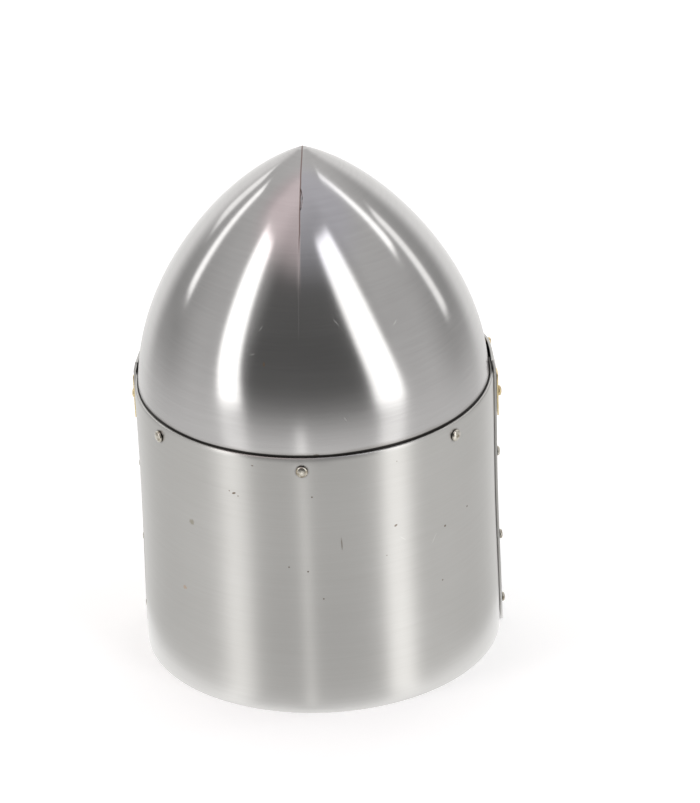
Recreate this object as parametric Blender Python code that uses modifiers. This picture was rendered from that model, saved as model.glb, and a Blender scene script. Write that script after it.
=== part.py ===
"""Great helm with a pointed crown, built as the real one is.

Two pressed halves welded along the middle make the crown. A back plate and a face plate are riveted
round its lower edge, the face plate lapping over the back plate at both sides, and a brass cross is
riveted to the face plate. The helm stands on its lower edge at z = 0 and its face looks along -Y.
Angles run round the helm in degrees from the middle of the back, positive towards the wearer's left.
"""

import math

import bmesh
import bpy
from mathutils import Matrix, Vector

HELM = "great_helm"

# Sheet and clearances, in metres
STEEL_WALL = 0.0016
BRASS_WALL = 0.0010
GAP = 0.0003

# Main form
RIM_HEIGHT = 0.1800
HELM_HEIGHT = 0.3457
PLATE_HALF_WIDTH = 0.1142
DEPTH_RATIO = 1.05
WAIST = 0.0008
FOOT = 0.0060
WAIST_ROWS = 5
COLUMN_STEP = 7.5

# Crown
SPRING_HEIGHT = 0.1700
CROWN_HALF_WIDTH = 0.1120
CROWN_TUCK = 0.0155
APEX_BACK = 0.0155
FLANK_FLATTENING = 0.0018
SHOULDER_FULLNESS = 0.0012
SEAM_CREASE = 0.15
SEAM_FADES_AT = 0.35
CROWN_ROWS = 13

# Flaw in the weld at the back of the crown: a narrow open pocket along the seam
FLAW_HEIGHT = 0.3240
FLAW_LENGTH = 0.0096
FLAW_WIDTH = 0.0016
FLAW_DEPTH = 0.0010

# Back plate and face plate
BACK_EDGE = 102.0
FACE_EDGE = 93.0
LAP_ENDS = 103.0
LAP_GONE = 115.0
CORNER_TOP = 0.1860
BROW_TOP = 0.1900
BROW_ANGLE = 108.0
CORNER_LEAN = 0.0014
BROW_LEAN = 0.0018

# Brass cross
ARM_HEIGHT = 0.1600
ARM_WIDTH = 0.0220
ARM_END_WIDTH = 0.0290
ARM_END = 94.5
ARM_FLARE = 14.0
UPRIGHT_HALF_ANGLE = 7.5
UPRIGHT_INNER_COLUMN = 5.0
UPRIGHT_BOTTOM = 0.0220
UPRIGHT_TOP = 0.1860
FOOT_FLARE = 1.25
FOOT_FLARE_HEIGHT = 0.0500

# Sights and breaths
SIGHT_INNER = 0.0180
SIGHT_OUTER = 0.0740
SIGHT_OPENING = 0.0090
SIGHT_CORNER = 0.0040
BREATH_RADIUS = 0.0020
BREATH_SIDES = 8
BREATH_ANGLES = (166.0, 159.0, 152.0, 145.0)
BREATH_HEIGHTS = (0.1220, 0.1060, 0.0900)

# Rivets. A dome rises by this share of its radius above its edge
BACK_HEAD = 0.0038
SEAM_HEAD = 0.0031
BRASS_HEAD = 0.0033
HEAD_EDGE = 0.0007
DOME_SHARE = 0.4
DOME_STEPS = 3
SHANK_RADIUS = 0.0018
TAIL_RADIUS = 0.0027
TAIL_RISE = 0.0011
TAIL_TAPER = 0.6
TAIL_CLEARANCE = 0.0007
RIVET_SIDES = 10
DRILL_MARGIN = 0.0030

# Sheets from the outside in, and the rivets: the sheets that each one joins, outermost first
SHEETS = ("cross", "face", "back", "crown")
RIVET_COLUMNS = ("node", "angle", "height", "metal", "head", "outer", "inner")
RIVETS = (
    ("back_rivet_middle", 0.0, 0.171, "steel", BACK_HEAD, "back", "crown"),
    ("back_rivet_left", 54.5, 0.171, "steel", BACK_HEAD, "back", "crown"),
    ("back_rivet_right", -54.5, 0.171, "steel", BACK_HEAD, "back", "crown"),
    ("seam_rivet_left_1", 97.5, 0.110, "steel", SEAM_HEAD, "face", "back"),
    ("seam_rivet_left_2", 97.5, 0.057, "steel", SEAM_HEAD, "face", "back"),
    ("seam_rivet_left_3", 97.5, 0.008, "steel", SEAM_HEAD, "face", "back"),
    ("seam_rivet_right_1", -97.5, 0.117, "steel", SEAM_HEAD, "face", "back"),
    ("seam_rivet_right_2", -97.5, 0.057, "steel", SEAM_HEAD, "face", "back"),
    ("seam_rivet_right_3", -97.5, 0.011, "steel", SEAM_HEAD, "face", "back"),
    ("arm_end_rivet_left", 97.5, 0.160, "brass", BRASS_HEAD, "cross", "back"),
    ("arm_end_rivet_right", -97.5, 0.160, "brass", BRASS_HEAD, "cross", "back"),
    ("arm_rivet_left", 130.0, 0.160, "brass", BRASS_HEAD, "cross", "face"),
    ("arm_rivet_right", -130.0, 0.160, "brass", BRASS_HEAD, "cross", "face"),
    ("brow_rivet_left", 108.0, 0.185, "brass", BRASS_HEAD, "face", "crown"),
    ("brow_rivet_right", -108.0, 0.185, "brass", BRASS_HEAD, "face", "crown"),
    ("upright_rivet_top", 180.0, 0.176, "brass", BRASS_HEAD, "cross", "crown"),
    ("upright_rivet_middle", 180.0, 0.136, "brass", BRASS_HEAD, "cross", "face"),
    ("upright_rivet_low", 180.0, 0.084, "brass", BRASS_HEAD, "cross", "face"),
    ("upright_rivet_foot", 180.0, 0.032, "brass", BRASS_HEAD, "cross", "face"),
)


def clear_scene():
    for old in list(bpy.data.objects):
        bpy.data.objects.remove(old, do_unlink=True)


def ease(value, start, end):
    """0 before start, 1 after end and smooth between."""
    share = min(max((value - start) / (end - start), 0.0), 1.0)
    return share * share * (3.0 - 2.0 * share)


def wrapped(angle):
    """The same direction as an angle from -180 to 180."""
    return (angle + 180.0) % 360.0 - 180.0


def plate_half_width(height):
    """Outside of the back plate: upright at the foot, and drawn in a little at mid height."""
    share = min(max((height - FOOT) / (RIM_HEIGHT - FOOT), 0.0), 1.0)
    return PLATE_HALF_WIDTH - WAIST * math.sin(math.pi * share) ** 2


def plate_point(angle, height, outward=0.0):
    """A point of the back plate's oval at this height, or one further out."""
    turn = math.radians(angle)
    half_width = plate_half_width(height)
    across = (half_width + outward) * math.sin(turn)
    along = (half_width * DEPTH_RATIO + outward) * math.cos(turn)
    return Vector((across, along, height))


def crown_arc_radius():
    """Radius of the arc that rises from the spring line to the apex."""
    rise = HELM_HEIGHT - SPRING_HEIGHT
    return (rise**2 + CROWN_HALF_WIDTH**2) / (2.0 * CROWN_HALF_WIDTH)


def crown_share(height):
    """0 at and below the spring line, 1 at the apex."""
    return min(max((height - SPRING_HEIGHT) / (HELM_HEIGHT - SPRING_HEIGHT), 0.0), 1.0)


def crown_half_width(height):
    """Outside of the crown: an arc, a little flatter in the flanks and fuller at the shoulder."""
    share = crown_share(height)
    radius = crown_arc_radius()
    climbed = share * (HELM_HEIGHT - SPRING_HEIGHT)
    arc = math.sqrt(max(radius**2 - climbed**2, 0.0)) - (radius - CROWN_HALF_WIDTH)
    flanks = FLANK_FLATTENING * math.sin(math.pi * share)
    shoulder = SHOULDER_FULLNESS * math.sin(2.0 * math.pi * share)
    return max(arc - flanks + shoulder, 0.0)


def crown_point(angle, height):
    """Each half of the crown is an arc of its own, so the halves meet in a crease that fades downwards."""
    half_width = crown_half_width(height)
    share = crown_share(height)
    crease = SEAM_CREASE * ease(share, SEAM_FADES_AT, 1.0)
    side = math.asin(math.sin(math.radians(angle)))
    from_side = math.copysign(math.pi / 2.0 - abs(side), math.cos(math.radians(angle)))
    turn = from_side * math.acos(crease / (1.0 + crease)) / (math.pi / 2.0)
    across = (1.0 + crease) * math.cos(turn) - crease
    along = (1.0 + crease) * math.sin(turn) / math.sqrt(1.0 + 2.0 * crease)
    x = math.copysign(across * half_width, side)
    y = along * half_width * DEPTH_RATIO + APEX_BACK * share
    return Vector((x, y, height))


def face_top(angle):
    """Height of the face plate's top edge, which drops a little to its rear corners."""
    return CORNER_TOP + (BROW_TOP - CORNER_TOP) * ease(abs(angle), FACE_EDGE, BROW_ANGLE)


def face_outward(angle, height):
    """How far the face plate's outside stands off the back plate's oval.

    It clears the back plate at the laps, joggles in past them, and leans in above the rim.
    """
    lap = (STEEL_WALL + GAP) * (1.0 - ease(abs(angle), LAP_ENDS, LAP_GONE))
    lean = CORNER_LEAN + (BROW_LEAN - CORNER_LEAN) * ease(abs(angle), FACE_EDGE, LAP_GONE)
    above = max(height - RIM_HEIGHT, 0.0) / (BROW_TOP - RIM_HEIGHT)
    return lap - lean * above


def face_point(angle, height):
    return plate_point(angle, height, face_outward(angle, height))


def cross_point(angle, height):
    """The cross lies on the face plate: this is its inner side."""
    return plate_point(angle, height, face_outward(angle, height) + GAP)


def cross_outside(angle, height):
    return plate_point(angle, height, face_outward(angle, height) + GAP + BRASS_WALL)


OUTSIDES = {"cross": cross_outside, "face": face_point, "back": plate_point, "crown": crown_point}


def outward_normal(outside, angle, height):
    """Normal of a sheet's outside, from two short steps along it."""
    step = 0.5
    rise = 0.0005
    along = outside(angle - step, height) - outside(angle + step, height)
    up = outside(angle, height + rise) - outside(angle, height - rise)
    return along.cross(up).normalized()


def metal(name, colour, roughness):
    made = bpy.data.materials.new(name)
    made.use_nodes = True
    shader = made.node_tree.nodes["Principled BSDF"]
    shader.inputs["Base Color"].default_value = (*colour, 1.0)
    shader.inputs["Metallic"].default_value = 1.0
    shader.inputs["Roughness"].default_value = roughness
    return made


def new_collection(name):
    made = bpy.data.collections.new(name)
    bpy.context.scene.collection.children.link(made)
    return made


def new_object(name, form, collection, finish=None):
    """Turns a bmesh into an object, shaded smooth with its sharp folds kept."""
    mesh = bpy.data.meshes.new(name)
    form.to_mesh(mesh)
    form.free()
    mesh.shade_smooth()
    mesh.set_sharp_from_angle(angle=math.radians(30))
    if finish:
        mesh.materials.append(finish)
    made = bpy.data.objects.new(name, mesh)
    collection.objects.link(made)
    return made


def new_cutter(name, form, collection):
    cutter = new_object(name, form, collection)
    cutter.hide_render = True
    cutter.display_type = "WIRE"
    return cutter


def add_wall(sheet, thickness, outward=False):
    """Gives an open sheet its thickness, on the inner or the outer side of the surface drawn."""
    wall = sheet.modifiers.new("wall", "SOLIDIFY")
    wall.thickness = thickness
    wall.offset = 1.0 if outward else -1.0
    wall.use_even_offset = True


def cut(sheet, cutter):
    opening = sheet.modifiers.new(cutter.name, "BOOLEAN")
    opening.operation = "DIFFERENCE"
    opening.object = cutter
    opening.solver = "EXACT"


def columns_between(start, end, extra=()):
    """Angles of the columns: the shared ones inside the span, its two ends, and any extra ones."""
    first = math.floor(start / COLUMN_STEP) + 1
    last = math.ceil(end / COLUMN_STEP)
    shared = [COLUMN_STEP * step for step in range(first, last)]
    return sorted({start, end, *shared, *extra})


def face_columns(start, *extra):
    """Columns from one side round the face to the other, with the bends of the laps among them."""
    bends = [angle for side in (BACK_EDGE, BROW_ANGLE, *extra) for angle in (side, 360.0 - side)]
    return columns_between(start, 360.0 - start, bends)


def waist_heights():
    step = (RIM_HEIGHT - FOOT) / WAIST_ROWS
    return [FOOT + step * row for row in range(WAIST_ROWS + 1)]


def bent_sheet(name, angles, heights, place, collection, finish, keep=None):
    """A flat grid bent round the helm. place gives each corner its point, keep says which cells stay."""
    form = bmesh.new()
    columns, rows = len(angles) - 1, len(heights) - 1
    bmesh.ops.create_grid(form, x_segments=columns, y_segments=rows, size=0.5)
    for corner in form.verts:
        corner.co.x = angles[round((corner.co.x + 0.5) * columns)]
        corner.co.y = heights[round((corner.co.y + 0.5) * rows)]
    if keep:
        spare = [cell for cell in form.faces if not keep(*cell.calc_center_median().xy)]
        bmesh.ops.delete(form, geom=spare, context="FACES")
    for corner in form.verts:
        corner.co = place(corner.co.x, corner.co.y)
    bmesh.ops.reverse_faces(form, faces=form.faces)
    return new_object(name, form, collection, finish)


def make_crown(collection, finish):
    """The profile is turned once round, then pressed to its oval and crease."""
    radius = crown_arc_radius()
    sweep = math.asin((HELM_HEIGHT - SPRING_HEIGHT) / radius)
    arc_heights = [
        SPRING_HEIGHT + radius * math.sin(sweep * row / CROWN_ROWS) for row in range(CROWN_ROWS)
    ]
    heights = [HELM_HEIGHT, *reversed(arc_heights), RIM_HEIGHT - CROWN_TUCK]
    profile = bmesh.new()
    corners = [profile.verts.new((crown_half_width(height), 0.0, height)) for height in heights]
    for upper, lower in zip(corners, corners[1:]):
        profile.edges.new((upper, lower))
    crown = new_object("crown", profile, collection, finish)
    turn_profile(crown, round(360.0 / COLUMN_STEP))
    graph = bpy.context.evaluated_depsgraph_get()
    turned = bpy.data.meshes.new_from_object(crown.evaluated_get(graph))
    crown.modifiers.clear()
    crown.data = turned
    for corner in turned.vertices:
        angle = math.degrees(math.atan2(corner.co.x, corner.co.y))
        corner.co = crown_point(angle, corner.co.z)
    turned.shade_smooth()
    add_wall(crown, STEEL_WALL)
    return crown


def turn_profile(thing, sides):
    """Turns the profile drawn at +X once round Z."""
    turn = thing.modifiers.new("turn", "SCREW")
    turn.steps = sides
    turn.render_steps = sides
    turn.use_merge_vertices = True
    turn.merge_threshold = 0.0001


def make_back_plate(collection, finish):
    angles = columns_between(-BACK_EDGE, BACK_EDGE)
    plate = bent_sheet("back_plate", angles, [0.0, *waist_heights()], plate_point, collection, finish)
    add_wall(plate, STEEL_WALL)
    return plate


def make_face_plate(collection, finish):
    """Its top row of corners follows the brow line."""

    def place(angle, height):
        angle = wrapped(angle)
        if height == BROW_TOP:
            height = face_top(angle)
        return face_point(angle, height)

    angles = face_columns(FACE_EDGE)
    heights = [0.0, *waist_heights(), BROW_TOP]
    plate = bent_sheet("face_plate", angles, heights, place, collection, finish)
    add_wall(plate, STEEL_WALL)
    return plate


def make_cross(collection, finish):
    """A grid over the whole face, less the cells outside the cross, bent on to the face plate."""
    arm_low = ARM_HEIGHT - ARM_WIDTH / 2.0
    arm_high = ARM_HEIGHT + ARM_WIDTH / 2.0
    upright_rows = [row for row in waist_heights() if UPRIGHT_BOTTOM < row < arm_low - ARM_WIDTH / 4.0]
    heights = [UPRIGHT_BOTTOM, *upright_rows, arm_low, arm_high, RIM_HEIGHT, UPRIGHT_TOP]
    angles = face_columns(ARM_END, 180.0 - UPRIGHT_INNER_COLUMN)

    def in_cross(angle, height):
        return arm_low < height < arm_high or abs(angle - 180.0) < UPRIGHT_HALF_ANGLE

    def place(angle, height):
        from_middle = angle - 180.0
        if arm_low - GAP < height < arm_high + GAP:
            reach = 180.0 - ARM_END
            flare = ease(abs(from_middle), reach - ARM_FLARE, reach)
            half_width = (ARM_WIDTH + (ARM_END_WIDTH - ARM_WIDTH) * flare) / 2.0
            height = ARM_HEIGHT + math.copysign(half_width, height - ARM_HEIGHT)
        elif abs(from_middle) > UPRIGHT_INNER_COLUMN:
            foot = 1.0 - ease(height, UPRIGHT_BOTTOM, FOOT_FLARE_HEIGHT)
            from_middle *= 1.0 + (FOOT_FLARE - 1.0) * foot
        return cross_point(wrapped(180.0 + from_middle), height)

    cross = bent_sheet("brass_cross", angles, heights, place, collection, finish, keep=in_cross)
    add_wall(cross, BRASS_WALL, outward=True)
    return cross


def rivet_axis(rivet):
    """Where a rivet's shank meets the outermost sheet, its direction outwards, and its grip length."""
    outside = OUTSIDES[rivet["outer"]]
    inside = OUTSIDES[rivet["inner"]]
    angle, height = rivet["angle"], rivet["height"]
    seat = outside(angle, height)
    direction = outward_normal(outside, angle, height) + outward_normal(inside, angle, height)
    direction.normalize()
    grip = (seat - inside(angle, height)).dot(direction) + STEEL_WALL
    return seat, direction, grip


def rivet_profile(head, grip):
    """Radius and height of the corners, top to bottom: dome, shank and hammered tail."""
    corners = []
    for step in range(DOME_STEPS + 1):
        turn = math.pi / 2.0 * step / DOME_STEPS
        dome = head * DOME_SHARE * math.cos(turn)
        corners.append((head * math.sin(turn), GAP + HEAD_EDGE + dome))
    tail = -grip - TAIL_CLEARANCE
    corners.append((head, GAP))
    corners.append((SHANK_RADIUS, GAP))
    corners.append((SHANK_RADIUS, tail))
    corners.append((TAIL_RADIUS, tail))
    corners.append((TAIL_RADIUS * TAIL_TAPER, tail - TAIL_RISE))
    corners.append((0.0, tail - TAIL_RISE))
    return corners


def make_rivet(rivet, collection, finish):
    seat, direction, grip = rivet_axis(rivet)
    profile = bmesh.new()
    outline = rivet_profile(rivet["head"], grip)
    corners = [profile.verts.new((radius, 0.0, height)) for radius, height in outline]
    for upper, lower in zip(corners, corners[1:]):
        profile.edges.new((upper, lower))
    made = new_object(rivet["node"], profile, collection, finish)
    made.location = seat
    made.rotation_euler = direction.to_track_quat("Z", "Y").to_euler()
    turn_profile(made, RIVET_SIDES)
    return made


def sheets_of(rivet):
    """The sheets that a rivet passes through. The back plate ends under the laps."""
    joined = SHEETS[SHEETS.index(rivet["outer"]) : SHEETS.index(rivet["inner"]) + 1]
    return [sheet for sheet in joined if sheet != "back" or abs(rivet["angle"]) < BACK_EDGE]


def drill(form, centre, direction, radius, depth, sides):
    turn = direction.to_track_quat("Z", "Y").to_matrix().to_4x4()
    bmesh.ops.create_cone(
        form,
        cap_ends=True,
        segments=sides,
        radius1=radius,
        radius2=radius,
        depth=depth,
        matrix=Matrix.Translation(centre) @ turn,
    )


def rivet_holes(sheet, rivets, collection):
    """One tool that holds a drill for each rivet through this sheet."""
    form = bmesh.new()
    for rivet in rivets:
        if sheet in sheets_of(rivet):
            seat, direction, grip = rivet_axis(rivet)
            middle = seat - direction * (grip / 2.0)
            depth = grip + 2.0 * DRILL_MARGIN
            drill(form, middle, direction, SHANK_RADIUS + GAP, depth, RIVET_SIDES)
    return new_cutter(f"{sheet}_rivet_holes", form, collection)


def sight_openings(collection):
    """Two slots with rounded corners, cut straight back through the face."""
    form = bmesh.new()
    reach = PLATE_HALF_WIDTH * DEPTH_RATIO
    for side in (-1.0, 1.0):
        middle = Vector((side * (SIGHT_INNER + SIGHT_OUTER) / 2.0, -reach, ARM_HEIGHT))
        size = Matrix.Diagonal((SIGHT_OUTER - SIGHT_INNER, reach, SIGHT_OPENING, 1.0))
        bmesh.ops.create_cube(form, size=1.0, matrix=Matrix.Translation(middle) @ size)
    along_y = [edge for edge in form.edges if abs((edge.verts[0].co - edge.verts[1].co).y) > reach / 2.0]
    bmesh.ops.bevel(form, geom=along_y, offset=SIGHT_CORNER, segments=2, profile=0.5, affect="EDGES")
    return new_cutter("sight_openings", form, collection)


def breath_holes(collection):
    form = bmesh.new()
    for height in BREATH_HEIGHTS:
        for angle in BREATH_ANGLES:
            for side in (-1.0, 1.0):
                seat = face_point(side * angle, height)
                direction = outward_normal(face_point, side * angle, height)
                middle = seat - direction * (STEEL_WALL / 2.0)
                depth = STEEL_WALL + 2.0 * DRILL_MARGIN
                drill(form, middle, direction, BREATH_RADIUS, depth, BREATH_SIDES)
    return new_cutter("breath_holes", form, collection)


def weld_flaw(collection):
    """A long thin egg, sunk to its depth in the crown along the seam."""
    seat = crown_point(0.0, FLAW_HEIGHT)
    up = crown_point(0.0, FLAW_HEIGHT + FLAW_DEPTH) - seat
    inward = Vector((1.0, 0.0, 0.0)).cross(up).normalized()
    turn = Matrix((Vector((1.0, 0.0, 0.0)), -inward, up.normalized())).transposed().to_4x4()
    size = Matrix.Diagonal((FLAW_WIDTH / 2.0, FLAW_DEPTH, FLAW_LENGTH / 2.0, 1.0))
    form = bmesh.new()
    place = Matrix.Translation(seat) @ turn @ size
    bmesh.ops.create_uvsphere(form, u_segments=8, v_segments=6, radius=1.0, matrix=place)
    return new_cutter("weld_flaw", form, collection)


def build():
    clear_scene()
    helm = new_collection(HELM)
    cutters = new_collection("cutters")
    crown_steel = metal("crown_steel", (0.62, 0.60, 0.60), 0.28)
    plate_steel = metal("plate_steel", (0.60, 0.59, 0.57), 0.36)
    finishes = {
        "steel": metal("rivet_steel", (0.55, 0.54, 0.50), 0.30),
        "brass": metal("brass", (0.78, 0.58, 0.25), 0.28),
    }
    rivets = [dict(zip(RIVET_COLUMNS, row)) for row in RIVETS]

    sheets = {
        "crown": make_crown(helm, crown_steel),
        "back": make_back_plate(helm, plate_steel),
        "face": make_face_plate(helm, plate_steel),
        "cross": make_cross(helm, finishes["brass"]),
    }
    for name, sheet in sheets.items():
        cut(sheet, rivet_holes(name, rivets, cutters))
    sights = sight_openings(cutters)
    cut(sheets["face"], sights)
    cut(sheets["cross"], sights)
    cut(sheets["face"], breath_holes(cutters))
    cut(sheets["crown"], weld_flaw(cutters))
    for rivet in rivets:
        make_rivet(rivet, helm, finishes[rivet["metal"]])

    stand = bpy.data.objects.new(HELM, None)
    helm.objects.link(stand)
    for piece in helm.objects:
        if piece.type == "MESH":
            piece.parent = stand


build()
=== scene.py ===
# %% [markdown]
# # A great helm with a pointed crown
#
# The real helm is made from a few sheets of steel. Two pressed halves are welded into a pointed crown,
# a back plate and a face plate are riveted round its lower edge, and a thin brass cross is riveted to
# the face. This lesson dresses the packed solids: it makes each sheet again with a fine, smooth
# surface, gives it a metal finish, and lights it the way a small product studio would.
#
# Everything is in metres. The helm stands on z = 0, its face looks along -Y and its back along +Y.
# Angles run round the helm in degrees from the middle of the back, positive towards +X.

# %% Load the packed solids
import math

import bmesh
import bpy
from mathutils import Matrix, Vector


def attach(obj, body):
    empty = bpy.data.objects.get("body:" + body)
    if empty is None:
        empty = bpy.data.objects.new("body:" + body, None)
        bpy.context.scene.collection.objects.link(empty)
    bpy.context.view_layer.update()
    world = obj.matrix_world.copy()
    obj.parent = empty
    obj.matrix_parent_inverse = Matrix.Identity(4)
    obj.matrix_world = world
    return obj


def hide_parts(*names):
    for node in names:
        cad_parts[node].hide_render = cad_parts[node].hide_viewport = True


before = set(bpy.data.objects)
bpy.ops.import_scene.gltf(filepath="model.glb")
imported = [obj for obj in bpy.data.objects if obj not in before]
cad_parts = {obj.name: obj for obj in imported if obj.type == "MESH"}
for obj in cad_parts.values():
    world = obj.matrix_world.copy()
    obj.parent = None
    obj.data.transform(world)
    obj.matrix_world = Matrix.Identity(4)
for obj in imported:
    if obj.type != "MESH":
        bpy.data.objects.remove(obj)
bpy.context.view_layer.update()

# %% [markdown]
# ## Camera
#
# The photo was taken from behind and above, from far away with a long lens, so the sides of the helm
# hardly converge. The camera stands on a ray from a point on the helm's axis. Its axes are built from
# the direction it looks in, then rolled a little, because the real camera wasn't quite level.

# %% Place the camera
CAMERA_AZIMUTH = math.radians(184.74)
CAMERA_ELEVATION = math.radians(25.92)
CAMERA_DISTANCE = 3.8561
CAMERA_PIVOT = Vector((0.0, 0.0, 0.17056))
CAMERA_TARGET = Vector((-0.02231, -0.00185, 0.15954))
CAMERA_ROLL = math.radians(-2.21)
CAMERA_LENS = 271.13


def place_camera():
    level = math.cos(CAMERA_ELEVATION)
    ray = Vector(
        (
            math.sin(CAMERA_AZIMUTH) * level,
            -math.cos(CAMERA_AZIMUTH) * level,
            math.sin(CAMERA_ELEVATION),
        )
    )
    place = CAMERA_PIVOT + CAMERA_DISTANCE * ray
    forward = (CAMERA_TARGET - place).normalized()
    right = forward.cross(Vector((0.0, 0.0, 1.0))).normalized()
    up = right.cross(forward)
    across = math.cos(CAMERA_ROLL) * right + math.sin(CAMERA_ROLL) * up
    upright = math.cos(CAMERA_ROLL) * up - math.sin(CAMERA_ROLL) * right
    turn = Matrix((across, upright, -forward)).transposed().to_4x4()
    lens = bpy.data.cameras.new("studio_camera")
    lens.lens = CAMERA_LENS
    lens.clip_end = 50.0
    camera = bpy.data.objects.new("studio_camera", lens)
    camera.matrix_world = Matrix.Translation(place) @ turn
    bpy.context.scene.collection.objects.link(camera)
    bpy.context.scene.camera = camera
    return camera


camera = place_camera()
print("camera at", [round(value, 3) for value in camera.location])

# %% [markdown]
# ## Working in edit mode from code
#
# An operator acts on whatever is selected, and loading leaves the solids selected. So each step starts
# from nothing selected, goes into edit mode on one piece, and picks its faces, edges or corners by
# where they are. These few helpers do what the mouse would do.

# %% Selecting by place


def rest():
    """Back to object mode with nothing selected."""
    if bpy.context.object and bpy.context.object.mode != "OBJECT":
        bpy.ops.object.mode_set(mode="OBJECT")
    bpy.ops.object.select_all(action="DESELECT")


def edit(piece, kind="VERT"):
    """Opens a piece in edit mode, in vertex, edge or face mode, with nothing selected."""
    rest()
    bpy.context.view_layer.objects.active = piece
    piece.select_set(True)
    bpy.ops.object.mode_set(mode="EDIT")
    bpy.ops.mesh.select_mode(type=kind)
    bpy.ops.mesh.select_all(action="DESELECT")


def pick(piece, kind, test):
    """In edit mode, selects the corners, edges or faces of a piece that pass the test."""
    bpy.ops.mesh.select_mode(type=kind)
    bpy.ops.mesh.select_all(action="DESELECT")
    form = bmesh.from_edit_mesh(piece.data)
    found = {"VERT": form.verts, "EDGE": form.edges, "FACE": form.faces}[kind]
    chosen = [element for element in found if test(element)]
    for element in chosen:
        element.select_set(True)
    form.select_flush_mode()
    bmesh.update_edit_mesh(piece.data)
    return len(chosen)


def apply_modifier(piece, kind, **settings):
    """Adds a modifier with these settings and applies it."""
    rest()
    bpy.context.view_layer.objects.active = piece
    piece.select_set(True)
    modifier = piece.modifiers.new(kind.lower(), kind)
    for name, value in settings.items():
        setattr(modifier, name, value)
    bpy.ops.object.modifier_apply(modifier=modifier.name)


rest()
print("selected:", len(bpy.context.selected_objects))

# %% [markdown]
# ## Turning and pressing sheet metal
#
# A helm sheet is close to a surface of revolution. Its outline is drawn by extruding one corner from
# point to point, and the Spin operator turns it part of the way round. A resize then presses the round
# form to its oval. What isn't round, such as a joggle or a crease, is pressed in afterwards: each
# vertex gets a weight from 0 to 1 by its place, and a Displace modifier moves it by that share of a
# depth. The weight is a function of the angle and height, which keeps every bend smooth.

# %% Turn and press
DEPTH_RATIO = 1.05


def ease(value, start, end):
    """0 before start, 1 after end and smooth between."""
    share = min(max((value - start) / (end - start), 0.0), 1.0)
    return share * share * (3.0 - 2.0 * share)


def turned_sheet(name, outline, start, span, step):
    """Draws an outline of (radius, height) points at one angle, and turns it on to larger angles."""
    direction = Vector((math.sin(math.radians(start)), math.cos(math.radians(start)), 0.0))
    points = [direction * radius + Vector((0.0, 0.0, height)) for radius, height in outline]
    rest()
    bpy.ops.mesh.primitive_plane_add(size=0.001, location=points[0])
    piece = bpy.context.object
    piece.name = piece.data.name = name
    bpy.ops.object.transform_apply(location=True)
    bpy.ops.object.mode_set(mode="EDIT")
    bpy.ops.mesh.merge(type="CENTER")
    bpy.ops.mesh.select_mode(type="VERT")
    bpy.ops.mesh.select_all(action="SELECT")
    for here, there in zip(points, points[1:]):
        bpy.ops.mesh.extrude_vertices_move(TRANSFORM_OT_translate={"value": there - here})
    bpy.ops.mesh.select_all(action="SELECT")
    turn = {"center": (0.0, 0.0, 0.0), "axis": (0.0, 0.0, 1.0), "angle": math.radians(span)}
    bpy.ops.mesh.spin(steps=round(span / step), **turn)
    bpy.ops.mesh.select_all(action="SELECT")
    bpy.ops.mesh.remove_doubles(threshold=0.00002)
    bpy.ops.transform.resize(value=(1.0, DEPTH_RATIO, 1.0), center_override=(0.0, 0.0, 0.0))
    bpy.ops.mesh.normals_make_consistent(inside=False)
    rest()
    return piece


def angle_of(point):
    """Angle round the helm of a point on its oval, from -180 to 180."""
    return math.degrees(math.atan2(point.x, point.y / DEPTH_RATIO))


def press(piece, direction, depth, weight):
    """Moves the surface along X, Y, Z or its NORMAL by a depth, times the weight of each point."""
    rest()
    group = piece.vertex_groups.new(name="pressed")
    for corner in piece.data.vertices:
        share = weight(angle_of(corner.co), corner.co)
        if share > 0.0:
            group.add([corner.index], share, "REPLACE")
    apply_modifier(
        piece,
        "DISPLACE",
        direction=direction,
        strength=depth,
        mid_level=0.0,
        vertex_group=group.name,
    )
    piece.vertex_groups.clear()


def outward_facing(piece):
    """Share of the faces whose normal points away from the helm's axis."""
    outward = [face.normal.dot(face.center.xy.to_3d()) > 0.0 for face in piece.data.polygons]
    return sum(outward) / len(outward)


# %% [markdown]
# ## The crown
#
# The crown rises in one arc from the spring line to its point, a little flat in the flanks and full at
# the shoulder. Each half was pressed on its own, so at the top the two meet in a crease down the
# middle of the back and of the front, and the crease fades out lower down. The point also leans back.
# The outline is turned once round, leant back, and then both sides of the crease are pressed flat.

# %% Turn the crown
STEEL_WALL = 0.0016
RIM_HEIGHT = 0.1800
HELM_HEIGHT = 0.3457
SPRING_HEIGHT = 0.1700
CROWN_HALF_WIDTH = 0.1120
CROWN_FOOT = 0.1645
APEX_BACK = 0.0155
FLANK_FLATTENING = 0.0018
SHOULDER_FULLNESS = 0.0012
SEAM_CREASE = 0.24
SEAM_FADES_AT = 0.30
CROWN_ROWS = 56

CROWN_RISE = HELM_HEIGHT - SPRING_HEIGHT
CROWN_ARC = (CROWN_RISE**2 + CROWN_HALF_WIDTH**2) / (2.0 * CROWN_HALF_WIDTH)


def crown_share(height):
    """0 at and below the spring line, 1 at the point."""
    return min(max((height - SPRING_HEIGHT) / CROWN_RISE, 0.0), 1.0)


def crown_half_width(height):
    share = crown_share(height)
    arc = math.sqrt(max(CROWN_ARC**2 - (share * CROWN_RISE) ** 2, 0.0)) - CROWN_ARC
    flanks = FLANK_FLATTENING * math.sin(math.pi * share)
    shoulder = SHOULDER_FULLNESS * math.sin(2.0 * math.pi * share)
    return max(CROWN_HALF_WIDTH + arc - flanks + shoulder, 0.0)


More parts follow.
